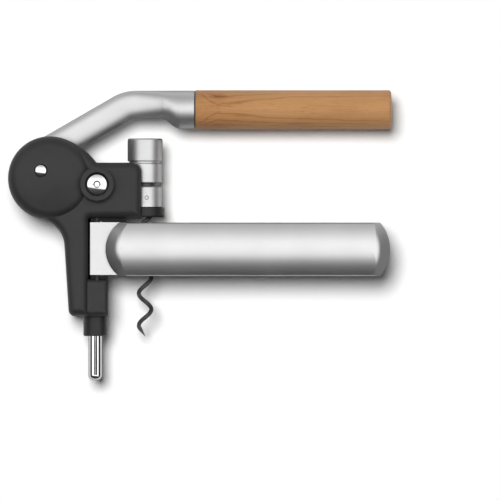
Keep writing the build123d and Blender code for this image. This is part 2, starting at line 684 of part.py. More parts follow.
with BuildPart() as guide_rod:
    with Locations(along_y(ROD_X, ROD_END)):
        Cylinder(ROD_R, ARM_BOTTOM - ROD_END, align=STANDING)
        Cylinder(ROD_STUD_R, ARM_TOP - ROD_END, align=STANDING)
    fillet(guide_rod.faces().sort_by(Axis.Y)[0].edges(), radius=ROD_END_R)
guide_rod.part.label = "guide_rod"
export_step(guide_rod.part, "parts/guide_rod.step")

with BuildPart() as guide_bush:
    with Locations(along_y(ROD_X, BUSH_COLLAR_END)):
        Cylinder(BUSH_COLLAR_R, FOOT_BOTTOM - BUSH_COLLAR_END, align=STANDING)
        Cylinder(BUSH_SLEEVE_R, BUSH_SLEEVE_TOP - BUSH_COLLAR_END, align=STANDING)
        Cylinder(ROD_R + RUN_FIT, BUSH_SLEEVE_TOP - BUSH_COLLAR_END, align=STANDING, mode=Mode.SUBTRACT)
    chamfer(guide_bush.faces().sort_by(Axis.Y)[0].edges().sort_by(SortBy.RADIUS)[-1], length=BUSH_CHAMFER)
guide_bush.part.label = "guide_bush"
export_step(guide_bush.part, "parts/guide_bush.step")

# Drum and cap of the carriage, which carry the turning worm
with BuildPart() as carriage_body:
    with Locations(along_y(WORM_X, ARM_BOTTOM)):
        Cylinder(DRUM_R, ARM_TOP - ARM_BOTTOM, align=STANDING)
    chamfer(carriage_body.edges().filter_by(GeomType.CIRCLE), length=DRUM_EDGE)
    with Locations(along_y(WORM_X, ARM_BOTTOM)):
        Cylinder(COLLAR_R + RUN_FIT, ARM_TOP - ARM_BOTTOM, align=STANDING, mode=Mode.SUBTRACT)
    with BuildSketch(at(-ARM_THICK)):
        side_rectangle(WORM_X - 2 * DRUM_R, ARM_TONGUE_X, ARM_BOTTOM, ARM_TOP)
    extrude(amount=2 * ARM_THICK, mode=Mode.SUBTRACT)
carriage_body.part.label = "carriage_body"
export_step(carriage_body.part, "parts/carriage_body.step")

with BuildPart() as carriage_cap:
    with Locations(along_y(WORM_X, CAP_NECK_TOP)):
        Cylinder(DRUM_R, CAP_TOP - CAP_NECK_TOP, align=STANDING)
    fillet(carriage_cap.faces().sort_by(Axis.Y)[-1].edges(), radius=CAP_EDGE_R)
    chamfer(carriage_cap.faces().sort_by(Axis.Y)[0].edges(), length=DRUM_EDGE)
    with Locations(along_y(WORM_X, ARM_TOP)):
        Cylinder(CAP_NECK_R, CAP_TOP - ARM_TOP - CAP_EDGE_R, align=STANDING)
        Cylinder(CAP_CAVITY_R, CAP_CAVITY_TOP - ARM_TOP, align=STANDING, mode=Mode.SUBTRACT)
carriage_cap.part.label = "carriage_cap"
export_step(carriage_cap.part, "parts/carriage_cap.step")

with BuildPart() as thrust_washer:
    with Locations(along_y(WORM_X, ARM_TOP)):
        Cylinder(WASHER_R, WASHER_TOP - ARM_TOP, align=STANDING)
        Cylinder(COLLAR_R + WASHER_GAP, WASHER_TOP - ARM_TOP, align=STANDING, mode=Mode.SUBTRACT)
thrust_washer.part.label = "thrust_washer"
export_step(thrust_washer.part, "parts/thrust_washer.step")


def wire_turn(y):
    """The angle of the wire about the worm's axis at a height, from the side that faces up."""
    return 2 * pi * (y - WIRE_FRONT_Y) / WORM_PITCH


# Worm: a right-handed wire screw with a ground point, fixed in a round collar
with BuildPart() as wire:
    with BuildLine() as wire_path:
        Helix(pitch=WORM_PITCH, height=WIRE_TOP - WIRE_LOW, radius=WORM_R)
    with BuildSketch(Plane(origin=wire_path.line @ 0, z_dir=wire_path.line % 0)):
        Circle(WIRE_R)
    sweep(path=wire_path.line, is_frenet=True)
    with Locations(Plane(origin=wire_path.line @ 0, z_dir=-(wire_path.line % 0))):
        Cone(WIRE_R, TIP_POINT_R, TIP_LENGTH, align=STANDING)

low_turn = wire_turn(WIRE_LOW)
worm_plane = Plane(origin=(WORM_X, WIRE_LOW, MID), x_dir=(sin(low_turn), 0, cos(low_turn)), z_dir=(0, 1, 0))
with BuildPart() as worm:
    with Locations(worm_plane):
        add(wire.part)
    with Locations(along_y(WORM_X, COLLAR_BOTTOM)):
        Cylinder(COLLAR_R, COLLAR_TOP - COLLAR_BOTTOM, align=STANDING)
        Cylinder(WORM_NECK_R, WORM_HEAD_TOP - COLLAR_BOTTOM, align=STANDING)
    with Locations(along_y(WORM_X, COLLAR_FLANGE_LOW)):
        Cylinder(COLLAR_FLANGE_R, COLLAR_FLANGE_HIGH - COLLAR_FLANGE_LOW, align=STANDING)
worm.part.label = "worm"
export_step(worm.part, "parts/worm.step")

with BuildPart() as worm_head:
    with Locations(along_y(WORM_X, COLLAR_TOP)):
        Cylinder(WORM_HEAD_R, WORM_HEAD_TOP - COLLAR_TOP, align=STANDING)
        Cylinder(WORM_NECK_R + SEAT_FIT, WORM_HEAD_TOP - COLLAR_TOP, align=STANDING, mode=Mode.SUBTRACT)
worm_head.part.label = "worm_head"
export_step(worm_head.part, "parts/worm_head.step")

# Nut: two follower pins straddle the wire, so that the worm turns as it passes
follower_y = (NUT_BOTTOM + NUT_TOP) / 2
follower_turn = wire_turn(follower_y)
follower_way = (sin(follower_turn), 0, cos(follower_turn))
with BuildPart() as worm_nut:
    with Locations(along_y(WORM_X, NUT_BOTTOM)):
        Cylinder(NUT_R, NUT_TOP - NUT_BOTTOM, align=STANDING)
        Cylinder(NUT_BORE_R, NUT_TOP - NUT_BOTTOM, align=STANDING, mode=Mode.SUBTRACT)
    for offset in (FOLLOWER_OFFSET, -FOLLOWER_OFFSET):
        pin_start = (
            WORM_X + FOLLOWER_REACH * follower_way[0],
            follower_y + offset,
            MID + FOLLOWER_REACH * follower_way[2],
        )
        with Locations(Plane(origin=pin_start, z_dir=follower_way)):
            Cylinder(FOLLOWER_R, (NUT_R + NUT_BORE_R) / 2 - FOLLOWER_REACH, align=STANDING)
worm_nut.part.label = "worm_nut"
export_step(worm_nut.part, "parts/worm_nut.step")

with BuildPart() as nut_housing:
    with Locations(along_y(WORM_X, NUT_BOTTOM)):
        Cylinder(DRUM_R, NUT_TOP - NUT_BOTTOM, align=STANDING)
    chamfer(nut_housing.edges().filter_by(GeomType.CIRCLE), length=DRUM_EDGE)
    with BuildSketch(at(-TENON_HALF)):
        side_rectangle(TENON_LEFT, TENON_RIGHT, TENON_LOW, TENON_HIGH)
    extrude(amount=2 * TENON_HALF)
    with Locations(along_y(WORM_X, NUT_BOTTOM)):
        Cylinder(NUT_R + SEAT_FIT, NUT_TOP - NUT_BOTTOM, align=STANDING, mode=Mode.SUBTRACT)
    with Locations(along_z(SET_SCREW)):
        Cylinder(SET_SCREW_R + SEAT_FIT, HALF_DEPTH, align=STANDING, mode=Mode.SUBTRACT)
nut_housing.part.label = "nut_housing"
export_step(nut_housing.part, "parts/nut_housing.step")

with BuildPart() as nut_set_screw:
    with Locations(along_z(SET_SCREW, NUT_R + SEAT_FIT)):
        Cylinder(SET_SCREW_R, SET_SCREW_TOP - NUT_R - SEAT_FIT, align=STANDING)
    chamfer(nut_set_screw.faces().sort_by(Axis.Z)[-1].edges(), length=SET_SCREW_CHAMFER)
    with BuildSketch(along_z(SET_SCREW, SET_SCREW_TOP)):
        RegularPolygon(SET_SCREW_SOCKET_R, 6)
    extrude(amount=-SET_SCREW_SOCKET_DEPTH, mode=Mode.SUBTRACT)
nut_set_screw.part.label = "nut_set_screw"
export_step(nut_set_screw.part, "parts/nut_set_screw.step")

with BuildPart() as nut_flange:
    with Locations(along_y(WORM_X, FLANGE_BOTTOM)):
        Cylinder(FLANGE_R, NUT_BOTTOM - FLANGE_BOTTOM, align=STANDING)
    fillet(nut_flange.faces().sort_by(Axis.Y)[0].edges(), radius=FLANGE_EDGE_R)
    with Locations(along_y(WORM_X, FLANGE_BOTTOM)):
        Cylinder(FLANGE_BORE_R, NUT_BOTTOM - FLANGE_BOTTOM, align=STANDING, mode=Mode.SUBTRACT)
nut_flange.part.label = "nut_flange"
export_step(nut_flange.part, "parts/nut_flange.step")

with BuildPart() as hinge_pins:
    with Locations(along_y(HINGE_X, HINGE_PIN_LOW, HINGE_Z), along_y(HINGE_X, HINGE_PIN_LOW, -HINGE_Z)):
        Cylinder(HINGE_PIN_R, HINGE_PIN_HIGH - HINGE_PIN_LOW, align=STANDING)
hinge_pins.part.label = "hinge_pins"
export_step(hinge_pins.part, "parts/hinge_pins.step")

# Washer plates on the hinge pins: under the block, where they stay clear of the bottle, and on the foot
with BuildPart() as hinge_washers:
    with BuildSketch(at(HINGE_WASHER_BACK)):
        side_rectangle(HINGE_WASHER_LEFT, HINGE_WASHER_TOP_RIGHT, BLOCK_BOTTOM - HINGE_WASHER, BLOCK_BOTTOM)
        side_rectangle(HINGE_WASHER_LEFT, HINGE_WASHER_FOOT_RIGHT, FOOT_TOP, FOOT_TOP + HINGE_WASHER)
    extrude(amount=HINGE_WASHER_FRONT - HINGE_WASHER_BACK)
    with Locations(along_y(HINGE_X, FOOT_TOP, HINGE_Z)):
        Cylinder(HINGE_PIN_R + SEAT_FIT, BLOCK_BOTTOM - FOOT_TOP, align=STANDING, mode=Mode.SUBTRACT)
    with Locations(along_y(WORM_X, FOOT_TOP)):
        Cylinder(JAW_R, BLOCK_BOTTOM - FOOT_TOP, align=STANDING, mode=Mode.SUBTRACT)
    mirror(hinge_washers.part, about=at(0))
hinge_washers.part.label = "hinge_washers"
export_step(hinge_washers.part, "parts/hinge_washers.step")

# Clamp handle: crowned across, with round ends that roll off, hollow in the grip, bored for the bottle neck
handle_mid_y = (HANDLE_TOP + HANDLE_BOTTOM) / 2
handle_half = (HANDLE_TOP - HANDLE_BOTTOM) / 2
left_bow = HANDLE_LEFT_CORNER - HANDLE_LEFT
right_bow = HANDLE_RIGHT - HANDLE_RIGHT_CORNER
left_r = (handle_half**2 + left_bow**2) / (2 * left_bow)
right_r = (handle_half**2 + right_bow**2) / (2 * right_bow)
left_centre = HANDLE_LEFT + left_r
right_centre = HANDLE_RIGHT - right_r


def handle_arch(x, inset, edge_r):
    """Section across a handle, with a crowned front and rounded shoulders."""
    low = HANDLE_BOTTOM + inset
    high = HANDLE_TOP - inset
    shoulder = HANDLE_SHOULDER - inset
    with BuildSketch(along_x(x, 0)) as arch:
        with BuildLine():
            Polyline((low, shoulder), (low, HANDLE_GAP), (high, HANDLE_GAP), (high, shoulder))
            ThreePointArc((high, shoulder), (handle_mid_y, HALF_DEPTH - inset), (low, shoulder))
        make_face()
        fillet(arch.vertices().group_by(Axis.Y)[-1], radius=edge_r)
    return arch.sketch


# Section of the hinge lug about its pin: a plate that turns clear of the column, round behind
lug_corner = (-KNUCKLE_R, HINGE_Z - LUG_FRONT)
with BuildSketch(along_y(HINGE_X, LUG_BOTTOM, HINGE_Z)) as lug_section:
    Circle(KNUCKLE_R)
    Polygon(
        (0, 0),
        (-KNUCKLE_R, 0),
        lug_corner,
        (LUG_RIGHT - HINGE_X, HINGE_Z - LUG_FRONT),
        (LUG_RIGHT - HINGE_X, HINGE_Z - LUG_BACK),
        (0, HINGE_Z - LUG_BACK),
    )
    fillet(lug_section.vertices().sort_by_distance((*lug_corner, 0))[0], radius=LUG_EDGE_R)

handle_outside = handle_arch(HANDLE_LEFT, 0, HANDLE_EDGE_R)
handle_inside = handle_arch(HOLLOW_LEFT, HANDLE_WALL, HOLLOW_EDGE_R)
with BuildPart() as clamp_handle_front:
    with BuildSketch(at(HANDLE_GAP)):
        side_rectangle(left_centre, right_centre, HANDLE_BOTTOM, HANDLE_TOP)
    extrude(amount=HALF_DEPTH)
    for end_x, end_r in ((left_centre, left_r), (right_centre, right_r)):
        bevel_foot = (end_r, HALF_DEPTH - BEVEL_DROP)
        bevel_head = (end_r - BEVEL_DROP / tan(BEVEL_TILT), HALF_DEPTH)
        with BuildSketch(upright_section((end_x, handle_mid_y))) as end_section:
            Polygon((0, HANDLE_GAP), (end_r, HANDLE_GAP), bevel_foot, bevel_head, (0, HALF_DEPTH))
            fillet(end_section.vertices().sort_by_distance((*bevel_head, 0))[0], radius=BEVEL_BLEND_R)
        revolve(axis=Axis((end_x, handle_mid_y, 0), (0, 0, 1)))
    extrude(handle_outside, amount=HANDLE_RIGHT - HANDLE_LEFT, mode=Mode.INTERSECT)
    extrude(lug_section.sketch, amount=LUG_TOP - LUG_BOTTOM)
    with Locations(along_y(HINGE_X, LUG_BOTTOM, HINGE_Z)):
        Cylinder(HINGE_PIN_R + RUN_FIT, LUG_TOP - LUG_BOTTOM, align=STANDING, mode=Mode.SUBTRACT)
    with Locations(along_y(WORM_X, HANDLE_BOTTOM)):
        Cylinder(JAW_R, LUG_TOP - HANDLE_BOTTOM, align=STANDING, mode=Mode.SUBTRACT)
    extrude(handle_inside, amount=HOLLOW_RIGHT - HOLLOW_LEFT, mode=Mode.SUBTRACT)
clamp_handle_front.part.label = "clamp_handle_front"
export_step(clamp_handle_front.part, "parts/clamp_handle_front.step")

with BuildPart() as clamp_handle_rear:
    mirror(clamp_handle_front.part, about=at(0))
clamp_handle_rear.part.label = "clamp_handle_rear"
export_step(clamp_handle_rear.part, "parts/clamp_handle_rear.step")

with BuildPart() as jaw_pad_front:
    with Locations(along_y(WORM_X, PAD_LOW)):
        Cylinder(JAW_R - SEAT_FIT, PAD_HIGH - PAD_LOW, align=STANDING)
        Cylinder(PAD_R, PAD_HIGH - PAD_LOW, align=STANDING, mode=Mode.SUBTRACT)
    split(bisect_by=at(PAD_GAP), keep=Keep.TOP)
jaw_pad_front.part.label = "jaw_pad_front"
export_step(jaw_pad_front.part, "parts/jaw_pad_front.step")

with BuildPart() as jaw_pad_rear:
    mirror(jaw_pad_front.part, about=at(0))
jaw_pad_rear.part.label = "jaw_pad_rear"
export_step(jaw_pad_rear.part, "parts/jaw_pad_rear.step")
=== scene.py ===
import math

import bmesh
import bpy
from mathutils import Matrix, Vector


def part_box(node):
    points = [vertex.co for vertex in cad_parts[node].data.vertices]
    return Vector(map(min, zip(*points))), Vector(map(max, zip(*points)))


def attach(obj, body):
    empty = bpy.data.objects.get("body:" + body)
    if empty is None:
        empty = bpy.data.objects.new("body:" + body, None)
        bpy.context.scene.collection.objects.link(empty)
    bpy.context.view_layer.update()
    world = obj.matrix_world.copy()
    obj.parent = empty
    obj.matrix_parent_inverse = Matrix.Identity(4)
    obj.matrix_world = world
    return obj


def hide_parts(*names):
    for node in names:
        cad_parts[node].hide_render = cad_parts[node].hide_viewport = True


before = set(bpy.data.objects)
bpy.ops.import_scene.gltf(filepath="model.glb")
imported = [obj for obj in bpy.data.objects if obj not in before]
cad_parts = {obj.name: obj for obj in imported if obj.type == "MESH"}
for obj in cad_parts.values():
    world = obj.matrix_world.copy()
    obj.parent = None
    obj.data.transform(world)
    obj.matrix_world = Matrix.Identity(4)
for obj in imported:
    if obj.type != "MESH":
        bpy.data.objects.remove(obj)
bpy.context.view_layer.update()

MM = 0.001

# Plane that halves the tool, and a margin for heights that are compared
MIDDLE_Z = 20.0 * MM
MARGIN = 0.001 * MM

# The photograph's frame, in the object's own coordinates
FRAME_WIDTH = 250 * MM
FRAME_CENTRE = Vector((24.85 * MM, -7.4 * MM, MIDDLE_Z))
CAMERA_DISTANCE = 8.0
CLIP_NEAR = 0.1
CLIP_FAR = 20
SENSOR = 36.0

# White paper that the tool lies on
FLOOR_HALF = 4.0
PAPER_DARK = 0.96
PAPER_LIGHT = 0.98
PAPER_FIBRE = 0.9 * MM
PAPER_ROUGHNESS = 0.9
PAPER_GLOSS = 0.1
PAPER_GLOW = 0.02

# Lamps of the matte surfaces: level, spread in degrees, and the way that the light travels
LAMPS = {
    "key": (1.0, 20, (0.12, -0.185, -1.0)),
    "fill": (0.04, 120, (0.0, -0.15, -1.0)),
}

# Overhead light box that gloss shows: level, tilt of the front edge, where each edge fades, fall to the back
BOX_LEVEL = 2.25
BOX_TILT = 0.137
BOX_FRONT = (-0.40, -0.20)
BOX_LEFT = (-0.94, -0.68)
BOX_RIGHT = (0.68, 0.90)
BOX_HORIZON = (0.0, 0.15)
BOX_FALLOFF = ((0.60, 1.00), (0.80, 0.45), (0.98, 0.20))

# Dark gap in the box, with a light spot straight above, whose edge is a squared distance
GAP_DEPTH = 0.95
GAP_SIDES = (0.012, 0.03)
GAP_LEFT = (-0.42, -0.36)
GAP_RIGHT = (0.50, 0.58)
SPOT_EDGE = (0.0005, 0.0010)

# Dim light of the room round the box, from front to back, and its fade at both sides
ROOM_DEPTH = (-0.9, 0.5)
ROOM_LEVELS = (0.05, 0.30)
ROOM_SIDES = (0.55, 0.90)
ROOM_SIDE_SHARE = 0.05

# Flat faces of the hinge lugs, measured from the middle plane
LUG_FACE = 12.45 * MM
LUG_END_X = -47.5 * MM

# Lever arm: pivot, hub, half depth, power of the fuller section, ferrule, longer taper and packed flare
LEVER_PIVOT = (-79.5 * MM, 32.2 * MM)
HUB_REACH = 14.2 * MM
ARM_HALF_DEPTH = 4.6 * MM
ARM_FULLNESS = 2.7
FERRULE_R = 9.55 * MM
TAPER_START = -30.0 * MM
FLARE_START = -19.15 * MM
FLARE_END = -10.15 * MM
SLOPE_STEP = 0.002 * MM

# Chrome heads: centre, radius, heights of top and rim from the middle plane, radius of the drilled dimple
CHROME_HEADS = {
    "pivot_pin": (LEVER_PIVOT, 3.25 * MM, 17.9 * MM, 16.1 * MM, 0.0),
    "roller_studs": ((-51.5 * MM, 25.4 * MM), 6.0 * MM, 19.9 * MM, 16.9 * MM, 1.8 * MM),
}
HEAD_RISE = 0.55

# Ribbed rubber linings of the jaws, about the worm's axis
JAW_AXIS_X = -27.6 * MM
LINING_BACK_R = 15.16 * MM
LINING_FACE_R = 14.0 * MM
LINING_GROOVE = 0.55 * MM
LINING_RIBS = 10
LINING_EDGE = 0.3 * MM
LINING_END_ANGLE = math.radians(6.4)
LINING_STEPS = 72
POINTS_PER_RIB = 12
RIB_ROUNDNESS = 0.6
SHARP_ANGLE = math.radians(40)

# Noise lies mostly between these values, and that of the oak's rings is read a little wider
NOISE_LOW = 0.3
NOISE_HIGH = 0.7
RING_NOISE = (0.25, 0.75)

# How light a metal's glancing reflections are
GLANCE_TINT = 0.05

# Growth rings of the oak grip, in millimetres, about a pith behind it
PITH_Y = 61.2
PITH_DEPTH = 20.0
FIRST_RING = 28.45
RING_WIDTH = 1.36
RING_WANDER = 0.45
RING_FRAY = 0.12

# Rings from here outwards have fainter lines
OUTER_RINGS = (1.2, 2.2)
OUTER_RING_SHARE = 0.25

# Shares of a ring's width in which its late wood darkens and its early wood pales
LATE_WOOD = (0.72, 1.0)
EARLY_WOOD = (0.0, 0.10)

# Stretches of the grip, in millimetres, and how far the pith dips at both ends of each, smoothly or evenly
GRIP_START_X = -3.0
GRIP_PINCH_X = 9.0
GRIP_BEND_X = 46.0
GRIP_END_X = 96.0
PITH_DIPS = (
    (GRIP_START_X, GRIP_PINCH_X, 2.4, 0.0, True),
    (GRIP_PINCH_X, GRIP_BEND_X, 0.0, 1.15, False),
    (GRIP_BEND_X, GRIP_END_X, 0.0, 0.6, False),
)

# Small knot in the oak, in millimetres, and where its shade ends, in squared half sizes
KNOT_CENTRE = (9.0, 69.2)
KNOT_HALF_SIZE = (5.0, 1.5)
KNOT_FADE = 1.4

# How much each feature of the oak darkens it, where pores open, the lines' relief, and the shades
LINE_TONE = 0.27
STREAK_TONE = 0.42
CLOUD_TONE = 0.36
PORE_TONE = 0.16
KNOT_TONE = 0.22
START_TONE = 0.16
START_TONE_END_X = 30.0
PORE_NOISE = (0.56, 0.70)
LINE_RELIEF = 0.3
OAK_SHADES = (
    (0.20, (0.53, 0.285, 0.125)),
    (0.48, (0.43, 0.215, 0.085)),
    (0.78, (0.31, 0.135, 0.048)),
    (1.00, (0.20, 0.078, 0.026)),
)


# Shader building


def new_material(name):
    """A material with its node tree and its Principled shader."""
    material = bpy.data.materials.new(name)
    material.use_nodes = True
    tree = material.node_tree
    return material, tree, tree.nodes["Principled BSDF"]


def new_metal(name):
    """A material that is metal all over."""
    material, tree, shader = new_material(name)
    shader.inputs["Metallic"].default_value = 1.0
    shader.inputs["Specular Tint"].default_value = (*grey(GLANCE_TINT), 1)
    return material, tree, shader


def plug(tree, socket, value):
    """Links an output to a socket, or sets the socket's own value."""
    if isinstance(value, bpy.types.NodeSocket):
        tree.links.new(value, socket)
    else:
        socket.default_value = value


def parts_of(tree, vector):
    """The X, Y and Z outputs of a vector."""
    node = tree.nodes.new("ShaderNodeSeparateXYZ")
    tree.links.new(vector, node.inputs["Vector"])
    return [node.outputs[axis] for axis in "XYZ"]


def object_point(tree, stretch=(1, 1, 1)):
    """The surface point in the object's frame, scaled along each axis."""
    coordinate = tree.nodes.new("ShaderNodeTexCoord")
    mapping = tree.nodes.new("ShaderNodeMapping")
    mapping.inputs["Scale"].default_value = stretch
    tree.links.new(coordinate.outputs["Object"], mapping.inputs["Vector"])
    return mapping.outputs["Vector"]


def grain(tree, point, size, detail=3.0, roughness=0.55, distortion=0.0):
    """Noise between 0 and 1 whose features are about `size` metres wide."""
    noise = tree.nodes.new("ShaderNodeTexNoise")
    noise.inputs["Scale"].default_value = 1 / size
    noise.inputs["Detail"].default_value = detail
    noise.inputs["Roughness"].default_value = roughness
    noise.inputs["Distortion"].default_value = distortion
    tree.links.new(point, noise.inputs["Vector"])
    return noise.outputs["Fac"]


def remap(tree, value, low, high, to_low=0.0, to_high=1.0, smooth=True):
    """Takes low..high to to_low..to_high, clamped."""
    node = tree.nodes.new("ShaderNodeMapRange")
    node.interpolation_type = "SMOOTHSTEP" if smooth else "LINEAR"
    plug(tree, node.inputs["Value"], value)
    node.inputs["From Min"].default_value = low
    node.inputs["From Max"].default_value = high
    node.inputs["To Min"].default_value = to_low
    node.inputs["To Max"].default_value = to_high
    return node.outputs["Result"]


def calc(tree, operation, *values):
    """One arithmetic step."""
    node = tree.nodes.new("ShaderNodeMath")
    node.operation = operation
    for socket, value in zip(node.inputs, values):
        plug(tree, socket, value)
    return node.outputs["Value"]


def product(tree, *values):
    """All the values multiplied together."""
    total = values[0]
    for value in values[1:]:
        total = calc(tree, "MULTIPLY", total, value)
    return total


def square_sum(tree, first, second):
    """The sum of two squares."""
    return calc(tree, "MULTIPLY_ADD", first, first, calc(tree, "MULTIPLY", second, second))


def shades(tree, value, *stops):
    """A colour ramp through (place, colour) stops."""
    ramp = tree.nodes.new("ShaderNodeValToRGB")
    elements = ramp.color_ramp.elements
    while len(elements) < len(stops):
        elements.new(0.5)
    for element, (place, colour) in zip(elements, stops):
        element.position = place
        element.color = (*colour, 1)
    tree.links.new(value, ramp.inputs["Fac"])
    return ramp.outputs["Color"]


def paint(tree, shader, noise, dark, light, low=NOISE_LOW, high=NOISE_HIGH):
    """A base colour that the noise varies between two shades."""
    plug(tree, shader.inputs["Base Color"], shades(tree, noise, (low, dark), (high, light)))


def roughen(tree, shader, noise, smoothest, roughest, low=NOISE_LOW, high=NOISE_HIGH):
    """A roughness that the noise varies between two values."""
    plug(tree, shader.inputs["Roughness"], remap(tree, noise, low, high, smoothest, roughest))


def bump(tree, shader, height, depth):
    """Relief of about `depth` metres from a height between 0 and 1."""
    node = tree.nodes.new("ShaderNodeBump")
    node.inputs["Strength"].default_value = 1.0
    node.inputs["Distance"].default_value = depth
    tree.links.new(height, node.inputs["Height"])
    tree.links.new(node.outputs["Normal"], shader.inputs["Normal"])


def seen_ray(tree):
    """1 where the camera looks, also in a mirror or through glass."""
    path = tree.nodes.new("ShaderNodeLightPath")
    seen = calc(tree, "MAXIMUM", path.outputs["Is Camera Ray"], path.outputs["Is Glossy Ray"])
    return calc(tree, "MAXIMUM", seen, path.outputs["Is Transmission Ray"])


def grey(value):
    """A colour without hue."""
    return (value, value, value)


# Materials


def moulded_plastic(name, dark, light, roughness, gloss, relief):
    """Fine spark-eroded moulding texture with faint cloudy shade."""
    material, tree, shader = new_material(name)
    shader.inputs["Specular IOR Level"].default_value = gloss
    point = object_point(tree)
    cloud = grain(tree, point, size=14 * MM)
    speck = grain(tree, point, size=0.35 * MM, detail=2)
    paint(tree, shader, cloud, dark, light, high=0.75)
    roughen(tree, shader, speck, roughness - 0.05, roughness + 0.07)
    bump(tree, shader, speck, relief)
    return material


def blasted_metal(name, dark, light, roughness, relief):
    """Bead-blasted and anodised metal: soft, even, with a fine speckle."""
    material, tree, shader = new_metal(name)
    point = object_point(tree)
    cloud = grain(tree, point, size=20 * MM)
    speck = grain(tree, point, size=0.25 * MM, detail=2)
    paint(tree, shader, cloud, dark, light)
    roughen(tree, shader, speck, roughness - 0.04, roughness + 0.04)
    bump(tree, shader, speck, relief)
    return material


def turned_metal(name, dark, light, roughness, relief):
    """Lathe-turned metal, with fine rings across the Y axis, along which the drums stand."""
    material, tree, shader = new_metal(name)
    rings = grain(tree, object_point(tree, (0.02, 1, 0.02)), size=0.18 * MM)
    cloud = grain(tree, object_point(tree), size=9 * MM)
    paint(tree, shader, cloud, dark, light)
    roughen(tree, shader, rings, roughness - 0.05, roughness + 0.05)
    bump(tree, shader, rings, relief)
    return material


def polished_metal(name, dark, light, roughness):
    """Smooth metal with faint handling smears in its gloss."""
    material, tree, shader = new_metal(name)
    smear = grain(tree, object_point(tree, (1, 0.4, 1)), size=5 * MM, detail=5, distortion=1.2)
    paint(tree, shader, smear, dark, light, low=0.35, high=0.65)
    roughen(tree, shader, smear, roughness, roughness + 0.06, low=0.35, high=0.75)
    return material


def coated_wire(name):
    """Dark non-stick coating with a slight pebble and rubbed patches."""
    material, tree, shader = new_material(name)
    point = object_point(tree)
    patch = grain(tree, point, size=4 * MM, detail=4)
    pebble = grain(tree, point, size=0.3 * MM, detail=2)
    paint(tree, shader, patch, grey(0.030), grey(0.055), low=0.35)
    roughen(tree, shader, pebble, smoothest=0.34, roughest=0.46)
    bump(tree, shader, pebble, depth=0.02 * MM)
    return material


def soft_rubber(name):
    """Matte rubber with a fine dusty grain."""
    material, tree, shader = new_material(name)
    point = object_point(tree)
    speck = grain(tree, point, size=0.5 * MM)
    dust = grain(tree, point, size=7 * MM)
    paint(tree, shader, dust, grey(0.014), grey(0.024), high=0.75)
    roughen(tree, shader, speck, smoothest=0.62, roughest=0.78)
    bump(tree, shader, speck, depth=0.03 * MM)
    return material


def oak_rings(tree, x, y, z):
    """Dark lines of the growth rings. The pith dips, so that a cathedral opens along the grip."""
    wander = grain(tree, object_point(tree, (0.16, 1, 1)), size=6 * MM, detail=4)
    fray = grain(tree, object_point(tree, (0.07, 1, 1)), size=0.8 * MM)
    depth = PITH_DEPTH
    for start, end, dip_at_start, dip_at_end, smooth in PITH_DIPS:
        dip = remap(tree, x, start, end, dip_at_start, dip_at_end, smooth=smooth)
        depth = calc(tree, "ADD", depth, dip)
    across = calc(tree, "SUBTRACT", y, PITH_Y)
    above = calc(tree, "ADD", calc(tree, "SUBTRACT", z, MIDDLE_Z / MM), depth)
    age = calc(tree, "SUBTRACT", calc(tree, "SQRT", square_sum(tree, across, above)), FIRST_RING)
    for noise, shift in ((wander, RING_WANDER), (fray, RING_FRAY)):
        age = calc(tree, "ADD", age, remap(tree, noise, *RING_NOISE, -shift, shift, smooth=False))
    ring = calc(tree, "FRACT", calc(tree, "DIVIDE", age, RING_WIDTH))
    late_wood = remap(tree, ring, *LATE_WOOD)
    early_wood = remap(tree, ring, *EARLY_WOOD, 1.0, 0.0)
    line = calc(tree, "MAXIMUM", late_wood, early_wood)
    return calc(tree, "MULTIPLY", line, remap(tree, age, *OUTER_RINGS, 1.0, OUTER_RING_SHARE))


def oak_knot(tree, x, y):
    """Shade of a small knot, which fades outwards."""
    along, across = (
        calc(tree, "DIVIDE", calc(tree, "SUBTRACT", value, centre), half_size)
        for value, centre, half_size in zip((x, y), KNOT_CENTRE, KNOT_HALF_SIZE)
    )
    return remap(tree, square_sum(tree, along, across), 0.0, KNOT_FADE, KNOT_TONE, 0.0)


def oak(name):
    """Oiled oak with growth rings, streaks, pores and a knot, darker towards the ferrule."""
    material, tree, shader = new_material(name)
    x, y, z = parts_of(tree, object_point(tree, grey(1 / MM)))
    line = oak_rings(tree, x, y, z)
    streak = grain(tree, object_point(tree, (0.05, 1, 1)), size=0.9 * MM, detail=4, roughness=0.7)
    pore = grain(tree, object_point(tree, (0.10, 1, 1)), size=0.42 * MM, detail=2)
    pores = remap(tree, pore, *PORE_NOISE)
    cloud = grain(tree, object_point(tree, (0.3, 1, 1)), size=12 * MM)
    tone = calc(tree, "MULTIPLY", line, LINE_TONE)
    for feature, weight in ((streak, STREAK_TONE), (cloud, CLOUD_TONE), (pores, PORE_TONE)):
        tone = calc(tree, "MULTIPLY_ADD", feature, weight, tone)
    tone = calc(tree, "ADD", tone, remap(tree, x, GRIP_START_X, START_TONE_END_X, START_TONE, 0.0))
    tone = calc(tree, "ADD", tone, oak_knot(tree, x, y))
    plug(tree, shader.inputs["Base Color"], shades(tree, tone, *OAK_SHADES))
    roughen(tree, shader, streak, smoothest=0.46, roughest=0.60)
    shader.inputs["Specular IOR Level"].default_value = 0.35
    relief = calc(tree, "SUBTRACT", 1.0, calc(tree, "MULTIPLY_ADD", line, LINE_RELIEF, pores))
    bump(tree, shader, relief, depth=0.04 * MM)
    return material


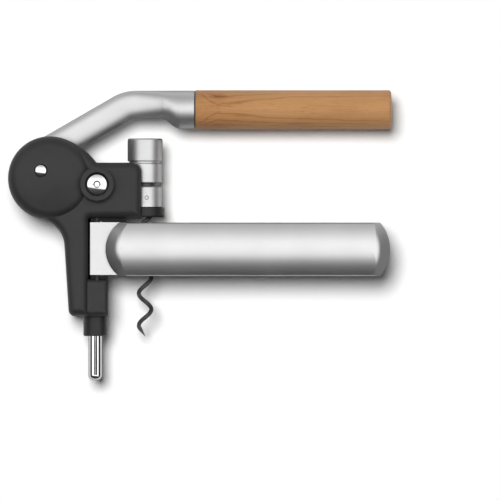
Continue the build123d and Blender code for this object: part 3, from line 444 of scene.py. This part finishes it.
FINISHES = {
    "frame_plastic": moulded_plastic(
        "charcoal_moulding", grey(0.014), grey(0.020), roughness=0.52, gloss=0.38, relief=0.010 * MM
    ),
    "black_plastic": moulded_plastic(
        "black_moulding", grey(0.007), grey(0.011), roughness=0.45, gloss=0.36, relief=0.008 * MM
    ),
    "satin_metal": blasted_metal(
        "satin_alloy", grey(0.48), grey(0.52), roughness=0.37, relief=0.003 * MM
    ),
    "drum_metal": turned_metal(
        "turned_alloy", grey(0.50), grey(0.54), roughness=0.44, relief=0.0007 * MM
    ),
    "polished_chrome": polished_metal("chrome_plate", grey(0.60), grey(0.66), roughness=0.02),
    "steel": turned_metal(
        "machined_steel", grey(0.42), grey(0.52), roughness=0.30, relief=0.003 * MM
    ),
    "bronze": polished_metal(
        "bearing_bronze", (0.46, 0.27, 0.10), (0.58, 0.36, 0.15), roughness=0.26
    ),
    "worm_coat": coated_wire("worm_coating"),
    "oak": oak("oiled_oak"),
    "pad_rubber": soft_rubber("pad_rubber"),
}

# The lever's arm is blasted more coarsely than the handles; the hinges' pins and washers are painted
# near-black, as painted shade of the gaps round the hinge lugs
NODE_FINISHES = {
    "lever_arm": blasted_metal(
        "arm_alloy", grey(0.52), grey(0.56), roughness=0.48, relief=0.003 * MM
    ),
    # Pins painted near-black: painted shade of the narrow gaps that they show in
    "hinge_pins": turned_metal(
        "pin_steel_painted_shade", grey(0.03), grey(0.06), roughness=0.34, relief=0.002 * MM
    ),
    # Washers painted near-black: painted shade of the gaps above and below the lugs
    "hinge_washers": moulded_plastic(
        "washer_plastic_painted_shade", grey(0.003), grey(0.006), roughness=0.60, gloss=0.20, relief=0.006 * MM
    ),
}


def dress_nodes():
    """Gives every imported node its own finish, or else that of its material slot."""
    for name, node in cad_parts.items():
        for slot in node.material_slots:
            slot_name = slot.material.name.split(".")[0]
            slot.material = NODE_FINISHES.get(name, FINISHES[slot_name])


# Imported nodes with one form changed


def take_place(name, mesh, node, body):
    """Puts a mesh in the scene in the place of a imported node."""
    piece = bpy.data.objects.new(name, mesh)
    bpy.context.collection.objects.link(piece)
    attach(piece, body)
    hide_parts(node)


def packed_copy(name, node):
    """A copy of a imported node's mesh, and its corner normals."""
    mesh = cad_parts[node].data.copy()
    mesh.name = name
    return mesh, [corner.vector.copy() for corner in mesh.corner_normals]


def distance_from(centre, place):
    """How far a place is from an upright axis."""
    return math.hypot(place.x - centre[0], place.y - centre[1])


def eased(x, start, end):
    """0 before `start`, 1 past `end`, and a smooth rise between them."""
    share = min(max((x - start) / (end - start), 0.0), 1.0)
    return share**2 * (3 - 2 * share)


def arm_height(x, height):
    """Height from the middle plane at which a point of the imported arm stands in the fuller, tapered arm."""
    swell = FERRULE_R - ARM_HALF_DEPTH
    packed_depth = ARM_HALF_DEPTH + swell * eased(x, FLARE_START, FLARE_END)
    tapered_depth = ARM_HALF_DEPTH + swell * eased(x, TAPER_START, FLARE_END)
    power = 2 + (ARM_FULLNESS - 2) * (1 - eased(x, TAPER_START, FLARE_END))
    rise = min(abs(height) / packed_depth, 1.0)
    across = math.sqrt(1 - rise**2)
    return math.copysign(tapered_depth * (1 - across**power) ** (1 / power), height)


def arm_slopes(x, height):
    """How fast the arm's new height changes along X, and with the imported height."""
    step = SLOPE_STEP
    by_x = (arm_height(x + step, height) - arm_height(x - step, height)) / (2 * step)
    by_z = (arm_height(x, height + step) - arm_height(x, height - step)) / (2 * step)
    return by_x, by_z


def make_arm(name, node):
    """The lever's arm with a fuller section, whose depth grows gently towards the ferrule."""
    mesh, normals = packed_copy(name, node)
    free = [
        distance_from(LEVER_PIVOT, vertex.co) > HUB_REACH and vertex.co.x < FLARE_END
        for vertex in mesh.vertices
    ]
    for loop in mesh.loops:
        if free[loop.vertex_index]:
            place = mesh.vertices[loop.vertex_index].co
            by_x, by_z = arm_slopes(place.x, place.z - MIDDLE_Z)
            x, y, z = normals[loop.index]
            # The normal that goes with heights changing at these rates
            normals[loop.index] = Vector((x * by_z - z * by_x, y * by_z, z)).normalized()
    for vertex in mesh.vertices:
        if free[vertex.index]:
            vertex.co.z = MIDDLE_Z + arm_height(vertex.co.x, vertex.co.z - MIDDLE_Z)
    mesh.normals_split_custom_set(normals)
    take_place(name, mesh, node, "lever")


def make_heads(name, node):
    """Chrome pins whose domes are shallower, so that their rims stand nearly level with the plastic."""
    centre, radius, top, rim, dimple = CHROME_HEADS[node]
    mesh, normals = packed_copy(name, node)
    ball_radius = ((top - rim) ** 2 + radius**2) / (2 * (top - rim))
    dimple_fall = ball_radius - math.sqrt(ball_radius**2 - dimple**2)
    for face in mesh.polygons:
        height = abs(face.center.z - MIDDLE_Z)
        if height > rim and distance_from(centre, face.center) > dimple:
            for corner in face.loop_indices:
                # A flatter dome has normals nearer to upright
                normals[corner].z /= HEAD_RISE
                normals[corner].normalize()
    for vertex in mesh.vertices:
        side = math.copysign(1, vertex.co.z - MIDDLE_Z)
        height = side * (vertex.co.z - MIDDLE_Z)
        if height > rim - MARGIN:
            fall = dimple_fall if distance_from(centre, vertex.co) < dimple else top - height
            vertex.co.z += side * (1 - HEAD_RISE) * fall
    mesh.normals_split_custom_set(normals)
    take_place(name, mesh, node, "frame")


def make_handle(name, node, body, side):
    """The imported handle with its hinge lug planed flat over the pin. `side` is 1 in front and -1 behind."""
    mesh, normals = packed_copy(name, node)
    planed = set()
    for vertex in mesh.vertices:
        height = side * (vertex.co.z - MIDDLE_Z)
        if vertex.co.x < LUG_END_X and height > LUG_FACE - MARGIN:
            vertex.co.z = MIDDLE_Z + side * LUG_FACE
            planed.add(vertex.index)
    for face in mesh.polygons:
        if planed.issuperset(face.vertices):
            for corner in face.loop_indices:
                normals[corner] = Vector((0, 0, side))
    mesh.normals_split_custom_set(normals)
    take_place(name, mesh, node, body)


# Jaw linings


def lining_profile(low, high):
    """A closed line of (radius, height) points: a plain back, and rounded ribs on the face."""
    points = [
        (LINING_BACK_R - LINING_EDGE, low),
        (LINING_BACK_R, low + LINING_EDGE),
        (LINING_BACK_R, high - LINING_EDGE),
        (LINING_BACK_R - LINING_EDGE, high),
    ]
    count = LINING_RIBS * POINTS_PER_RIB
    for index in range(count + 1):
        share = index / count
        swell = abs(math.sin(math.pi * LINING_RIBS * share)) ** RIB_ROUNDNESS
        points.append((LINING_FACE_R + LINING_GROOVE * (1 - swell), high + share * (low - high)))
    return points


def make_lining(name, node, body, side):
    """A half-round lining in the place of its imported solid. `side` is 1 in front and -1 behind."""
    low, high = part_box(node)
    profile = lining_profile(low[1], high[1])
    work = bmesh.new()
    rings = []
    for step in range(LINING_STEPS + 1):
        share = step / LINING_STEPS
        angle = LINING_END_ANGLE + share * (math.pi - 2 * LINING_END_ANGLE)
        across = math.cos(angle)
        up = side * math.sin(angle)
        ring = [work.verts.new((JAW_AXIS_X + r * across, y, MIDDLE_Z + r * up)) for r, y in profile]
        rings.append(ring)
    for ring, following in zip(rings, rings[1:]):
        for index in range(len(profile)):
            after = (index + 1) % len(profile)
            work.faces.new((ring[index], ring[after], following[after], following[index]))
    work.faces.new(rings[0])
    work.faces.new(rings[-1])
    bmesh.ops.recalc_face_normals(work, faces=work.faces)
    mesh = bpy.data.meshes.new(name)
    work.to_mesh(mesh)
    work.free()
    mesh.shade_smooth()
    mesh.set_sharp_from_angle(angle=SHARP_ANGLE)
    mesh.materials.append(FINISHES["pad_rubber"])
    take_place(name, mesh, node, body)


# Studio


def make_floor():
    """White paper, lifted to pure white where nothing shades it."""
    mesh = bpy.data.meshes.new("floor")
    corners = [(-1, -1), (1, -1), (1, 1), (-1, 1)]
    points = [(FLOOR_HALF * x, FLOOR_HALF * y, 0) for x, y in corners]
    mesh.from_pydata(points, [], [(0, 1, 2, 3)])
    floor = bpy.data.objects.new("floor", mesh)
    bpy.context.collection.objects.link(floor)
    material, tree, shader = new_material("white_paper")
    fibre = grain(tree, object_point(tree), PAPER_FIBRE)
    paint(tree, shader, fibre, grey(PAPER_DARK), grey(PAPER_LIGHT))
    shader.inputs["Roughness"].default_value = PAPER_ROUGHNESS
    shader.inputs["Specular IOR Level"].default_value = PAPER_GLOSS
    shader.inputs["Emission Color"].default_value = (1, 1, 1, 1)
    plug(tree, shader.inputs["Emission Strength"], calc(tree, "MULTIPLY", seen_ray(tree), PAPER_GLOW))
    mesh.materials.append(material)


def overhead_box(tree, x, y, z):
    """A large light box overhead that leans to +Y, where it fades slowly."""
    tilted = calc(tree, "MULTIPLY_ADD", x, BOX_TILT, y)
    front_edge = remap(tree, tilted, *BOX_FRONT)
    left_edge = remap(tree, x, *BOX_LEFT)
    right_edge = remap(tree, x, *BOX_RIGHT, 1.0, 0.0)
    above = remap(tree, z, *BOX_HORIZON)
    depth_share = calc(tree, "MULTIPLY_ADD", y, 0.5, 0.5)
    falloff = shades(tree, depth_share, *((place, grey(level)) for place, level in BOX_FALLOFF))
    return product(tree, front_edge, left_edge, right_edge, above, falloff, BOX_LEVEL)


def box_gap(tree, x, y):
    """How much of the light is missing in the dark gap."""
    across = remap(tree, calc(tree, "ABSOLUTE", y), *GAP_SIDES, GAP_DEPTH, 0.0)
    left_end = remap(tree, x, *GAP_LEFT)
    right_end = remap(tree, x, *GAP_RIGHT, 1.0, 0.0)
    off_spot = remap(tree, square_sum(tree, x, y), *SPOT_EDGE)
    return product(tree, across, left_end, right_end, off_spot)


def room_light(tree, x, y):
    """Dim light from everywhere, least in front and at the sides."""
    along = remap(tree, y, *ROOM_DEPTH, *ROOM_LEVELS)
    sides = remap(tree, calc(tree, "ABSOLUTE", x), *ROOM_SIDES, 1.0, ROOM_SIDE_SHARE)
    return product(tree, along, sides)


def make_sky():
    """A studio that gloss shows, with a light box overhead. Lamps light the matte surfaces instead."""
    world = bpy.data.worlds.new("studio")
    bpy.context.scene.world = world
    world.use_nodes = True
    tree = world.node_tree
    background = tree.nodes["Background"]
    coordinate = tree.nodes.new("ShaderNodeTexCoord")
    x, y, z = parts_of(tree, coordinate.outputs["Generated"])
    brightest = calc(tree, "MAXIMUM", overhead_box(tree, x, y, z), room_light(tree, x, y))
    kept = calc(tree, "SUBTRACT", 1.0, box_gap(tree, x, y))
    plug(tree, background.inputs["Strength"], product(tree, brightest, kept))
    background.inputs["Color"].default_value = (1, 1, 1, 1)
    world.cycles_visibility.diffuse = False


def make_sun(name, level, spread, towards):
    """A soft lamp at a plain level, where 1 makes white paper white. Gloss shows the sky instead."""
    data = bpy.data.lights.new(name, "SUN")
    data.energy = level * math.pi
    data.angle = math.radians(spread)
    lamp = bpy.data.objects.new(name, data)
    lamp.rotation_euler = Vector(towards).to_track_quat("-Z", "Y").to_euler()
    lamp.visible_glossy = False
    bpy.context.collection.objects.link(lamp)


def make_camera():
    """A long lens looking straight down, as the photograph does."""
    data = bpy.data.cameras.new("camera")
    data.sensor_width = SENSOR
    data.lens = SENSOR * CAMERA_DISTANCE / FRAME_WIDTH
    data.clip_start = CLIP_NEAR
    data.clip_end = CLIP_FAR
    camera = bpy.data.objects.new("camera", data)
    camera.location = FRAME_CENTRE + Vector((0, 0, CAMERA_DISTANCE))
    bpy.context.collection.objects.link(camera)
    bpy.context.scene.camera = camera


dress_nodes()
make_arm("tapered_arm", "lever_arm")
make_heads("pivot_head", "pivot_pin")
make_heads("stud_heads", "roller_studs")
make_handle("handle_front", "clamp_handle_front", "clamp_front", 1)
make_handle("handle_rear", "clamp_handle_rear", "clamp_rear", -1)
make_lining("jaw_lining_front", "jaw_pad_front", "clamp_front", 1)
make_lining("jaw_lining_rear", "jaw_pad_rear", "clamp_rear", -1)
make_floor()
make_sky()
for lamp_name, lamp_values in LAMPS.items():
    make_sun(lamp_name, *lamp_values)
make_camera()
bpy.context.scene.view_settings.view_transform = "Standard"
